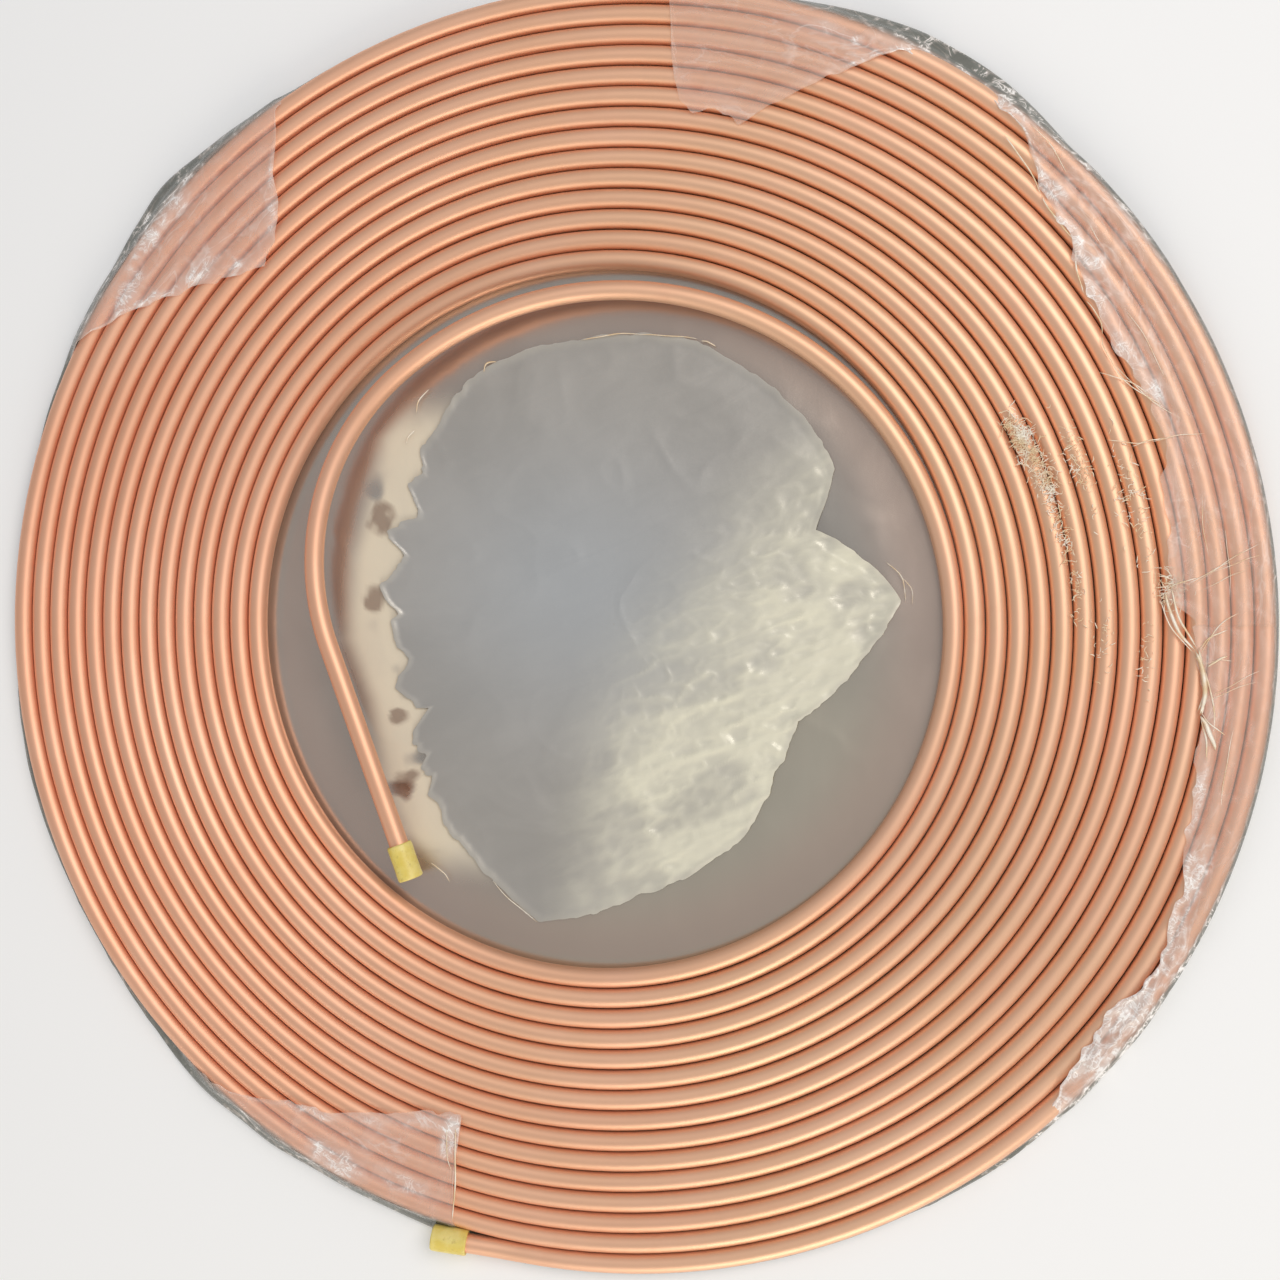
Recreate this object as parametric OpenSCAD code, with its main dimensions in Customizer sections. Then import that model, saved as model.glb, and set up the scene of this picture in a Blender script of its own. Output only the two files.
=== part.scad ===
// Flat coil of soft copper tube with capped ends, lying in the torn remains of its clear film bag.
// Origin: on the floor under the centre of the coil's eye. +Z up, +X right and +Y away as it lies.
// Directions are in degrees, counterclockwise from +X as seen from above.

/* [Tube] */
// Outside diameter of the copper tube
tube_diameter = 6.35; // [5:0.05:7.8]
// Space left between one turn and the next
turn_gap = 0.25; // [0.15:0.05:0.8]
// Number of whole turns wound round the innermost one
turns = 14; // [8:1:18]
// Radius of the open eye inside the innermost turn
eye_radius = 110; // [90:1:140]
// Thickness of the web that stands for the contact between turns
web_thickness = 2.4; // [1:0.1:4]

/* [Outer end] */
// Direction, from the coil's centre, where the outer end leaves the coil
outer_end_direction = 263; // [240:1:290]
// Angle by which the outer end turns up before it runs straight
outer_end_slope = 4; // [3:0.5:8]
// Length of the straight stretch at the outer end
outer_straight_length = 18; // [15:1:40]

/* [Inner tail] */
// Angle over which the innermost turn still lies against the coil
innermost_turn_angle = 84; // [50:1:100]
// Tilt of the plane in which the loose tail rises out of the coil
tail_tilt = 2.5; // [1.5:0.5:5]
// How much tighter the tail's wide bend is than the turn it comes from
tail_tightening = 5; // [2.5:0.5:8]
// Angle turned in the tail's wide bend
tail_wide_angle = 143; // [120:1:160]
// Radius of the tighter bend after it, as a share of the eye's radius
tail_tight_share = 0.73; // [0.5:0.01:0.8]
// Angle turned in the tighter bend
tail_tight_angle = 70; // [40:1:80]
// Length of the straight stretch at the tail's end, as a share of the eye's radius
tail_straight_share = 0.72; // [0.5:0.01:0.8]

/* [End caps] */
// Length of an end cap
cap_length = 12; // [10:0.5:16]
// Wall of an end cap
cap_wall = 0.7; // [0.5:0.1:1.2]
// Thickness of an end cap's closed end
cap_end_thickness = 1.4; // [1:0.1:3]
// Rounding at the closed end of a cap
cap_rounding = 0.8; // [0.4:0.1:1]
// Clearance all round between a cap and the tube in it
cap_clearance = 0.1; // [0.05:0.05:0.2]
// Space between the tube's end and the closed end of its cap
cap_seat_gap = 0.3; // [0.2:0.1:1]

/* [Film bag] */
// Thickness of the film
film_thickness = 0.4; // [0.3:0.1:0.8]
// Space between the film and whatever lies against it
film_gap = 0.3; // [0.2:0.05:0.5]
// How far the lower sheet stands out past the outermost turn
film_margin = 4; // [3:0.5:10]
// How far the strip at the rim reaches in over the turns between its flaps
rim_reach = 5; // [3:0.5:12]
// How far the flap at the far side reaches in
far_flap_reach = 44; // [20:1:60]
// How far the long flap at the right reaches in
right_flap_reach = 32; // [15:1:50]
// How far the flap at the near side reaches in
near_flap_reach = 44; // [20:1:60]
// How far the flap at the left reaches in
left_flap_reach = 46; // [20:1:60]

/* [Hidden] */
$fn = 96;
tube_radius = tube_diameter / 2;
pitch = tube_diameter + turn_gap;
axis_height = film_thickness + film_gap + tube_radius;
coil_top = axis_height + tube_radius;
// each whole turn is two half turns about centres half a pitch apart, so the turns join up
// into one spiral that grows by a pitch a turn, clockwise
centre_shift = pitch / 4;
innermost_radius = eye_radius + tube_radius;
first_radius = innermost_radius + pitch;
last_radius = innermost_radius + turns * pitch;
tail_wide_radius = innermost_radius - tail_tightening;
tail_tight_radius = tail_tight_share * eye_radius;
tail_straight_length = tail_straight_share * eye_radius;
outer_bend_radius = 150;
// where one stretch of tube runs into the next, a short collar barely proud of both joins them
joint_length = 1.2;
joint_proud = min(0.08, turn_gap / 4);
cap_bore_radius = tube_radius + cap_clearance;
cap_radius = cap_bore_radius + cap_wall;
// how far a tube's end goes into its cap
cap_overlap = cap_length - cap_end_thickness - cap_seat_gap;
wall_radius = last_radius + centre_shift + tube_radius + 1;
sheet_radius = wall_radius + film_margin - 1;
flap_height = coil_top + film_gap;
// the strip at the rim is open here, where the outer end comes through it
rim_opening = [outer_end_direction - 16, outer_end_direction + 4];

// Sub-part to draw

// a bend of tube that starts at the origin along +X and turns towards +Y
module tube_bend(radius, angle) {
    translate([0, radius, 0])
        rotate([0, 0, -90])
            rotate_extrude(angle = angle)
                translate([radius, 0])
                    circle(r = tube_radius);
}

// children stand at the end of such a bend, with the tube running along +X again
module after_bend(radius, angle) {
    translate([0, radius, 0])
        rotate([0, 0, angle])
            translate([0, -radius, 0])
                children();
}

// a straight length of tube along +X
module tube_straight(length) {
    rotate([0, 90, 0])
        cylinder(r = tube_radius, h = length);
}

// children stand at the inner end of the whole turns, with the tube running along +X
module at_inner_end() {
    rotate([0, 0, outer_end_direction])
        translate([centre_shift + innermost_radius, 0, axis_height])
            rotate([0, 0, 90])
                children();
}

// children stand at the outer end of the whole turns, with the tube running along +X
module at_outer_end() {
    rotate([0, 0, outer_end_direction])
        translate([centre_shift + last_radius, 0, axis_height])
            rotate([0, 0, -90])
                children();
}

// children stand where the tail begins to rise, in the tail's tilted plane
module at_tail() {
    at_inner_end()
        after_bend(innermost_radius, innermost_turn_angle)
            rotate([tail_tilt, 0, 0])
                children();
}

module at_tail_straight() {
    at_tail()
        after_bend(tail_wide_radius, tail_wide_angle)
            after_bend(tail_tight_radius, tail_tight_angle)
                children();
}

// children stand in the upright plane of the bend that lifts the outer end
module at_outer_bend() {
    at_outer_end()
        rotate([90, 0, 0])
            children();
}

module at_outer_straight() {
    at_outer_bend()
        after_bend(outer_bend_radius, outer_end_slope)
            children();
}

// a collar round the joint at the origin, between two stretches that run along +X there
module joint_collar() {
    rotate([0, 90, 0])
        cylinder(r = tube_radius + joint_proud, h = joint_length, center = true);
}

// a row of tube sections side by side along +X, joined by the web
module section_row(innermost, count, radius) {
    for (turn = [0 : count - 1])
        translate([innermost + turn * pitch, 0])
            circle(r = radius);
    translate([innermost, -web_thickness / 2])
        square([(count - 1) * pitch, web_thickness]);
}

// half of every whole turn, turned about the origin
module half_turns(innermost) {
    rotate_extrude(angle = 180)
        section_row(innermost, turns, tube_radius);
}

// collars in a row over the joints between the half turns
module joint_row(innermost, count) {
    rotate([90, 0, 0])
        linear_extrude(joint_length, center = true)
            section_row(innermost, count, tube_radius + joint_proud);
}

// a cap for a straight length of tube that starts at the origin along +X
module end_cap(length) {
    translate([length - cap_overlap, 0, 0])
        rotate([0, 90, 0])
            rotate_extrude()
                difference() {
                    union() {
                        square([cap_radius, cap_length - cap_rounding]);
                        square([cap_radius - cap_rounding, cap_length]);
                        translate([cap_radius - cap_rounding, cap_length - cap_rounding])
                            circle(r = cap_rounding);
                    }
                    translate([-1, -1])
                        square([1 + cap_bore_radius, 1 + cap_overlap + cap_seat_gap]);
                }
}

module tube_coil() {
    color([0.85, 0.55, 0.4])
    union() {
        rotate([0, 0, outer_end_direction]) {
            translate([centre_shift, 0, axis_height])
                half_turns(first_radius);
            translate([-centre_shift, 0, axis_height])
                rotate([0, 0, 180])
                    half_turns(first_radius - pitch / 2);
            // this side also takes in the inner and the outer end of the whole turns
            translate([centre_shift, 0, axis_height])
                joint_row(innermost_radius, turns + 1);
            translate([centre_shift, 0, axis_height])
                rotate([0, 0, 180])
                    joint_row(first_radius, turns);
        }
        at_outer_bend()
            tube_bend(outer_bend_radius, outer_end_slope);
        at_outer_straight() {
            joint_collar();
            tube_straight(outer_straight_length);
        }
        at_inner_end()
            tube_bend(innermost_radius, innermost_turn_angle);
        at_tail() {
            joint_collar();
            tube_bend(tail_wide_radius, tail_wide_angle);
            after_bend(tail_wide_radius, tail_wide_angle) {
                joint_collar();
                tube_bend(tail_tight_radius, tail_tight_angle);
            }
        }
        at_tail_straight() {
            joint_collar();
            tube_straight(tail_straight_length);
        }
    }
}

module inner_end_cap() {
    color([0.8, 0.7, 0.2])
    at_tail_straight()
        end_cap(tail_straight_length);
}

module outer_end_cap() {
    color([0.8, 0.7, 0.2])
    at_outer_straight()
        end_cap(outer_straight_length);
}

module film_sheet() {
    color([0.8, 0.82, 0.8])
    cylinder(r = sheet_radius, h = film_thickness);
}

// the outline of a torn flap: its root runs along the rim from one direction to another, and
// it narrows to a notched tip that reaches in towards the centre
module torn_flap(from, to, tip_from, tip_to, reach) {
    root = wall_radius - rim_reach / 3;
    tip = wall_radius - reach;
    steps = 6;
    polygon(concat(
        [for (i = [0 : steps])
            let (a = from + (to - from) * i / steps)
                root * [cos(a), sin(a)]],
        [tip * [cos(tip_to), sin(tip_to)],
         (tip + 0.08 * reach) * [cos((tip_from + tip_to) / 2), sin((tip_from + tip_to) / 2)],
         tip * [cos(tip_from), sin(tip_from)]]));
}

// the outline of the narrow strip turned in over the outermost turn, open where the tube's
// outer end comes through
module turned_in_strip() {
    reach = 2 * wall_radius;
    from = rim_opening[0] - 0.2;
    to = rim_opening[1] + 0.2;
    difference() {
        circle(r = wall_radius + film_thickness / 2);
        circle(r = wall_radius - rim_reach);
        polygon([[0, 0], reach * [cos(from), sin(from)], reach * [cos(to), sin(to)]]);
    }
}

module film_rim() {
    color([0.85, 0.87, 0.85, 0.6])
    union() {
        // the wall round the outermost turn
        rotate([0, 0, rim_opening[1]])
            rotate_extrude(angle = 360 - (rim_opening[1] - rim_opening[0]))
                translate([wall_radius, film_thickness + film_gap])
                    square([film_thickness, flap_height - film_gap - film_thickness / 2]);
        translate([0, 0, flap_height])
            linear_extrude(film_thickness) {
                turned_in_strip();
                torn_flap(62, 84, 73, 81, far_flap_reach);
                torn_flap(-15, 47, 0, 30, right_flap_reach);
                torn_flap(-52, -12, -44, -18, 0.6 * right_flap_reach);
                torn_flap(222, 246, 230, 246, near_flap_reach);
                torn_flap(121, 153, 129, 137, left_flap_reach);
            }
    }
}

// the loose piece lies flat in the eye, clear of the tail
module film_scrap() {
    across = eye_radius / 110;
    color([0.9, 0.92, 0.88, 0.8])
    translate([0, 0, film_thickness + film_gap])
        linear_extrude(film_thickness)
            polygon(across * [
                [-41, 84], [-8, 93], [32, 91], [52, 79], [72, 59], [76, 49], [70, 30], [90, 17],
                [97, 7], [84, -12], [65, -31], [58, -47], [49, -66], [29, -82], [13, -88],
                [-20, -98], [-36, -84], [-50, -69], [-57, -52], [-62, -25], [-70, -5],
                [-68, 22], [-62, 42], [-58, 62]]);
}

tube_coil();
inner_end_cap();
outer_end_cap();
film_sheet();
film_rim();
film_scrap();
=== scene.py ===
import math

import bmesh
import bpy
import numpy as np
from mathutils import Matrix, Vector


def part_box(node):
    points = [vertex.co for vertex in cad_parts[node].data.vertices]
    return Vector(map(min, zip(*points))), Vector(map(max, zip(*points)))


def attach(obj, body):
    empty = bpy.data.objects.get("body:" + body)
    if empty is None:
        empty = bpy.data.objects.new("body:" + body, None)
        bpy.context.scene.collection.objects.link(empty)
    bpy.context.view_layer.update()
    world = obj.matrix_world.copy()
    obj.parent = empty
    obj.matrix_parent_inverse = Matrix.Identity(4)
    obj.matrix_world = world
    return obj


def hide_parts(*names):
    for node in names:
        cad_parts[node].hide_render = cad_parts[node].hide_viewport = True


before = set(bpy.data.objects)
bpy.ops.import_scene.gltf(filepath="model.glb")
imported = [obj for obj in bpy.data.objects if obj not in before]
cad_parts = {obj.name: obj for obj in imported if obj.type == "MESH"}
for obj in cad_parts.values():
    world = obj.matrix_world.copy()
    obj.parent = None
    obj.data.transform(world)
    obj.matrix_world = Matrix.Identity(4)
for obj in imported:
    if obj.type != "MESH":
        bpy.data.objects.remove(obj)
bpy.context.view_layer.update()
print("frame loaded")

mm = 0.001


# sums that several pieces share

def latticeNoise(x, y, size, seed):
    # random numbers on a square lattice of the given size, joined by a smooth step in both directions
    u, v = np.asarray(x) / size, np.asarray(y) / size
    i, j = np.floor(u), np.floor(v)
    a, b = u - i, v - j
    a, b = a * a * (3 - 2 * a), b * b * (3 - 2 * b)

    def corner(p, q):
        h = np.sin(p * 127.1 + q * 311.7 + seed * 74.7) * 43758.5453
        return h - np.floor(h)

    low = corner(i, j) * (1 - a) + corner(i + 1, j) * a
    high = corner(i, j + 1) * (1 - a) + corner(i + 1, j + 1) * a
    return low * (1 - b) + high * b


def creases(x, y, size, seed, sharp=6.0):
    # narrow ridges where a smooth noise passes through its middle value
    n = latticeNoise(x, y, size, seed) * 0.65 + latticeNoise(x, y, size * 0.47, seed + 5) * 0.35
    return np.clip(1 - np.abs(n - 0.5) * sharp, 0, 1) ** 1.5


def smoothStep(low, high, x):
    # 0 below low, 1 above high, an S curve between them
    t = np.clip((np.asarray(x) - low) / (high - low), 0, 1)
    return t * t * (3 - 2 * t)


def clockwiseGap(angle, centre):
    # degrees from centre to angle, from -180 to 180
    return (angle - centre + 180) % 360 - 180


def overCircle(table, angle):
    # straight lines between (degrees, value) pairs, closed round the circle
    at = np.array([a % 360 for a, _ in table], float)
    value = np.array([v for _, v in table], float)
    order = np.argsort(at)
    return np.interp(np.asarray(angle) % 360, at[order], value[order], period=360)


def gridPiece(name, points, wrapRows, wrapColumns, uv=None, capFirst=False, capLast=False, flip=False):
    # a surface on a grid of rows and columns, or many such side by side; wrapped directions join up
    rows, columns = points.shape[-3:-1]
    index = np.arange(rows * columns).reshape(rows, columns)
    r = np.arange(rows if wrapRows else rows - 1)
    c = np.arange(columns if wrapColumns else columns - 1)
    rr, cc = np.meshgrid(r, c, indexing="ij")
    r2, c2 = (rr + 1) % rows, (cc + 1) % columns
    quads = np.stack([index[rr, cc], index[rr, c2], index[r2, c2], index[r2, cc]], -1).reshape(-1, 4)
    vertices = points.reshape(-1, 3)
    if points.ndim == 4:
        shift = np.arange(len(points))[:, None, None] * rows * columns
        quads = (quads[None] + shift).reshape(-1, 4)
    caps = []
    for wanted, row, turn in ((capFirst, 0, True), (capLast, rows - 1, False)):
        if wanted:
            middle = len(vertices)
            vertices = np.vstack([vertices, points[row].mean(0)])
            here, after = index[row, c], index[row, (c + 1) % columns]
            fan = [np.full(len(c), middle), after, here] if turn else [np.full(len(c), middle), here, after]
            caps.append(np.stack(fan, -1))
    if flip:
        quads = quads[:, ::-1]
        caps = [fan[:, ::-1] for fan in caps]
    faces = quads.tolist() + [f for fan in caps for f in fan.tolist()]
    mesh = bpy.data.meshes.new(name)
    mesh.from_pydata(vertices.tolist(), [], faces)
    if uv is not None:
        layer = mesh.uv_layers.new(name="along")
        flat = uv.reshape(-1, 2)
        flat = np.vstack([flat, np.zeros((len(vertices) - len(flat), 2))])
        corner = np.zeros(len(mesh.loops), np.int32)
        mesh.loops.foreach_get("vertex_index", corner)
        layer.data.foreach_set("uv", flat[corner].astype(np.float32).ravel())
    mesh.polygons.foreach_set("use_smooth", np.ones(len(mesh.polygons), bool))
    mesh.update()
    piece = bpy.data.objects.new(name, mesh)
    bpy.context.scene.collection.objects.link(piece)
    return piece


def paint(piece, name, values):
    # one number for each vertex, read by the piece's material
    field = piece.data.attributes.new(name, "FLOAT", "POINT")
    full = np.zeros(len(piece.data.vertices), np.float32)
    flat = np.asarray(values, np.float32).ravel()
    full[:len(flat)] = flat
    field.data.foreach_set("value", full)


def finishPiece(piece, material, slot, *nodes):
    piece.data.materials.append(material)
    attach(piece, "root")
    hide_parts(*nodes)


# materials: nodes put together as sums

class Wire:
    # a socket that can be added, subtracted and multiplied as a number is
    def __init__(self, sheet, socket):
        self.sheet, self.socket = sheet, socket

    def sum(self, operation, *others):
        inputs = {0: self, **dict(enumerate(others, 1))}
        return self.sheet.add("ShaderNodeMath", {"operation": operation}, inputs)

    def turned(self, operation, other):
        return self.sheet.add("ShaderNodeMath", {"operation": operation}, {0: other, 1: self})

    def __add__(self, other):
        return self.sum("ADD", other)

    def __radd__(self, other):
        return self.turned("ADD", other)

    def __sub__(self, other):
        return self.sum("SUBTRACT", other)

    def __rsub__(self, other):
        return self.turned("SUBTRACT", other)

    def __mul__(self, other):
        return self.sum("MULTIPLY", other)

    def __rmul__(self, other):
        return self.turned("MULTIPLY", other)

    def __pow__(self, other):
        return self.sum("POWER", other)

    def limited(self):
        return self.sheet.add("ShaderNodeClamp", {}, {"Value": self})

    def between(self, low, high):
        # 0 at low, 1 at high, an S curve between them
        return self.sheet.add("ShaderNodeMapRange", {"interpolation_type": "SMOOTHSTEP"},
                              {"Value": self, "From Min": low, "From Max": high})


class Sheet:
    # one material and the nodes added to it
    def __init__(self, name):
        self.material = bpy.data.materials.new(name)
        self.material.use_nodes = True
        self.tree = self.material.node_tree
        self.shader = self.tree.nodes["Principled BSDF"]

    def add(self, kind, settings, inputs, output=0):
        node = self.tree.nodes.new(kind)
        for key, value in settings.items():
            setattr(node, key, value)
        for key, value in inputs.items():
            self.put(node.inputs[key], value)
        return Wire(self, node.outputs[output])

    def put(self, socket, value):
        if isinstance(value, Wire):
            self.tree.links.new(value.socket, socket)
        elif hasattr(value, "__len__") and len(value) == 3 and socket.type == "RGBA":
            socket.default_value = (*value, 1)
        else:
            socket.default_value = value

    def set(self, **values):
        # sockets of the main shader, by name with underscores for spaces
        for key, value in values.items():
            self.put(self.shader.inputs[key.replace("_", " ")], value)

    def place(self):
        return self.add("ShaderNodeTexCoord", {}, {}, "Object")

    def along(self):
        return self.add("ShaderNodeUVMap", {"uv_map": "along"}, {})

    def painted(self, name):
        return self.add("ShaderNodeAttribute", {"attribute_name": name}, {}, "Fac")

    def stretched(self, vector, scale):
        return self.add("ShaderNodeVectorMath", {"operation": "MULTIPLY"}, {0: vector, 1: scale})

    def turned(self, vector, angle):
        return self.add("ShaderNodeVectorRotate", {"rotation_type": "Z_AXIS"},
                        {"Vector": vector, "Angle": -angle})

    def noise(self, vector, scale, detail=3.0, rough=0.5, skew=0.0):
        return self.add("ShaderNodeTexNoise", {}, {"Vector": vector, "Scale": scale, "Detail": detail,
                                                   "Roughness": rough, "Distortion": skew})

    def mix(self, share, a, b):
        node = self.tree.nodes.new("ShaderNodeMix")
        node.data_type = "RGBA"
        self.put(node.inputs[0], share)
        self.put(node.inputs[6], a)
        self.put(node.inputs[7], b)
        return Wire(self, node.outputs[2])

    def bump(self, height, strength, distance):
        return self.add("ShaderNodeBump", {}, {"Height": height, "Strength": strength, "Distance": distance})


# the tube, from its outer end to the end of its tail
coil = {
    "tubeRadius": 3.175 * mm,
    "turnPitch": 6.6 * mm,
    "filmGap": 0.3 * mm,            # between the lower film and the turns
    "turns": 14,
    "outerAxisRadius": 207.2 * mm,
    "outerEndDirection": 263,       # degrees round from +X, seen from above
    "innermostTurnAngle": 84,       # degrees past the last full turn
    "outerBendRadius": 150 * mm,
    "outerEndSlope": 4,             # degrees
    "outerStraight": 18 * mm,
    "tailTilt": 2.5,                # degrees, the plane that the tail is bent in
    "tailBends": ((108.175 * mm, 143), (80.3 * mm, 70)),
    "tailStraight": 79.2 * mm,
    "stepsPerTurn": 170,
    "sides": 20,
    "sideWaver": 0.1 * mm,
    "heightWaver": 0.35 * mm,
}


def coilPath(s):
    # a straight end, a bend down, an Archimedean spiral inward, then two arcs in a tilted plane
    # and a straight
    z = np.array([0.0, 0.0, 1.0])
    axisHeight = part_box("film_sheet")[1].z + s["filmGap"] + s["tubeRadius"]
    start = math.radians(s["outerEndDirection"])
    back = np.array([math.sin(start), -math.cos(start), 0.0])
    first = np.array([math.cos(start), math.sin(start), 0.0]) * s["outerAxisRadius"] + z * axisHeight
    slope = math.radians(s["outerEndSlope"])
    lift = np.linspace(slope, 0, 8, endpoint=False)[:, None]
    bend = first + s["outerBendRadius"] * (np.sin(lift) * back + (1 - np.cos(lift)) * z)
    run = np.linspace(s["outerStraight"], 0, 8, endpoint=False)[:, None]
    straight = bend[0] + run * (math.cos(slope) * back + math.sin(slope) * z)
    total = math.radians(360 * s["turns"] + s["innermostTurnAngle"])
    turned = np.linspace(0, total, int(total / (2 * math.pi) * s["stepsPerTurn"]), endpoint=False)
    radius = s["outerAxisRadius"] - s["turnPitch"] * turned / (2 * math.pi)
    angle = start + turned
    radius = radius + s["sideWaver"] * (latticeNoise(turned * 3.1, turned * 0, 1, 3) - 0.5)
    waver = s["heightWaver"] * latticeNoise(turned * 1.7, turned * 0 + 4, 1, 9)
    height = axisHeight + waver * smoothStep(0, 1, turned)
    spiral = np.stack([radius * np.cos(angle), radius * np.sin(angle), height], -1)
    parts = [straight, bend, spiral]
    end = start + total
    last = s["outerAxisRadius"] - s["turnPitch"] * total / (2 * math.pi)
    here = np.array([last * math.cos(end), last * math.sin(end), height[-1]])
    ahead = np.array([-math.sin(end), math.cos(end), 0.0])
    tilt = math.radians(s["tailTilt"])
    inward = -np.array([math.cos(end), math.sin(end), 0.0]) * math.cos(tilt) + z * math.sin(tilt)
    for bendRadius, degrees in s["tailBends"]:
        angle = math.radians(degrees)
        swung = np.linspace(0, angle, int(degrees / 360 * s["stepsPerTurn"]) + 2, endpoint=False)[:, None]
        parts.append(here + bendRadius * (np.sin(swung) * ahead + (1 - np.cos(swung)) * inward))
        here = here + bendRadius * (math.sin(angle) * ahead + (1 - math.cos(angle)) * inward)
        ahead, inward = (math.cos(angle) * ahead + math.sin(angle) * inward,
                         math.cos(angle) * inward - math.sin(angle) * ahead)
    parts.append(here + np.linspace(0, s["tailStraight"], 24)[:, None] * ahead)
    return np.vstack(parts)


def framesAlong(path):
    # at each point: the way ahead, the side and the up direction, with no twist
    ahead = np.gradient(path, axis=0)
    ahead /= np.linalg.norm(ahead, axis=1, keepdims=True)
    z = np.array([0.0, 0.0, 1.0])
    up = z - (ahead @ z)[:, None] * ahead
    up /= np.linalg.norm(up, axis=1, keepdims=True)
    return ahead, np.cross(ahead, up), up


def copperSheet():
    m = Sheet("drawnCopper")
    uv = m.along()
    place = m.place()
    fineDraw = m.noise(m.stretched(uv, (620.0, 9.0, 1.0)), 1.0, 4.0, 0.6)      # drawing lines along the tube
    wideDraw = m.noise(m.stretched(uv, (260.0, 3.0, 1.0)), 1.0, 3.0, 0.55)
    tarnish = m.noise(place, 16.0, 4.0, 0.6, 0.4)
    handled = m.noise(place, 70.0, 5.0, 0.6)
    side = m.add("ShaderNodeSeparateXYZ", {}, {0: place}, 0)
    # painted light: the copper is more orange to the left and more golden to the right, for the warmer light
    # that falls on the right side
    paintedSideLight = m.mix(side.between(-0.19, 0.12), (0.91, 0.495, 0.32), (0.87, 0.55, 0.355))
    pale = m.mix(tarnish.between(0.35, 0.7) * 0.6, paintedSideLight, (0.93, 0.565, 0.395))
    drawn = m.mix(wideDraw.between(0.35, 0.75) * 0.25, pale, (0.82, 0.40, 0.25))
    dulled = m.mix(handled.between(0.55, 0.8) * 0.25, drawn, (0.74, 0.40, 0.26))
    m.set(Base_Color=dulled, Metallic=0.8, Specular_IOR_Level=0.5,
          Roughness=0.4 + fineDraw * 0.1 + handled * 0.1,
          Normal=m.bump(fineDraw * 0.4 + wideDraw * 0.5 + handled * 0.2, 0.15, 0.0001))
    return m.material


def makeTube(s):
    path = coilPath(s)
    ahead, side, up = framesAlong(path)
    around = np.linspace(0, 2 * math.pi, s["sides"], endpoint=False)
    out = np.cos(around)[None, :, None] * side[:, None, :] + np.sin(around)[None, :, None] * up[:, None, :]
    points = path[:, None, :] + s["tubeRadius"] * out
    length = np.concatenate([[0], np.cumsum(np.linalg.norm(np.diff(path, axis=0), axis=1))])
    # round the tube the map runs out and back, so that it has no jump at a seam
    roundTube = np.abs(around / math.pi - 1) * s["tubeRadius"]
    uv = np.stack(np.broadcast_arrays(roundTube[None, :], length[:, None]), -1)
    tube = gridPiece("copperTube", points, False, True, uv, True, True, flip=True)
    finishPiece(tube, copperSheet(), "copper", "tube_coil")
    return path, ahead


tubePath, tubeAhead = makeTube(coil)
print("tube wound")


# the two caps, which share one shape
cap = {
    "boreRadius": 3.275 * mm,
    "outsideRadius": 3.975 * mm,
    "length": 12 * mm,
    "boreDepth": 10.6 * mm,
    "seatGap": 0.3 * mm,
    "rounding": 0.8 * mm,
    "lipRounding": 0.25 * mm,
    "segments": 64,
}


def yellowSheet():
    m = Sheet("yellowCapPlastic")
    place = m.place()
    cloud = m.noise(place, 160.0, 4.0, 0.6)
    grime = m.noise(place, 520.0, 5.0, 0.65)
    grain = m.noise(place, 2600.0, 3.0, 0.5)
    body = m.mix(cloud.between(0.35, 0.7), (0.76, 0.59, 0.12), (0.86, 0.72, 0.25))
    dirty = m.mix(grime.between(0.55, 0.75) * 0.45, body, (0.36, 0.25, 0.035))
    m.set(Base_Color=dirty, Metallic=0.0, Roughness=0.34 + grime * 0.2, Subsurface_Weight=0.15,
          Subsurface_Radius=(0.003, 0.0024, 0.0008), Coat_Weight=0.2, Coat_Roughness=0.2,
          Normal=m.bump(grain * 0.5 + cloud * 0.5, 0.35, 0.00015))
    return m.material


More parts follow.
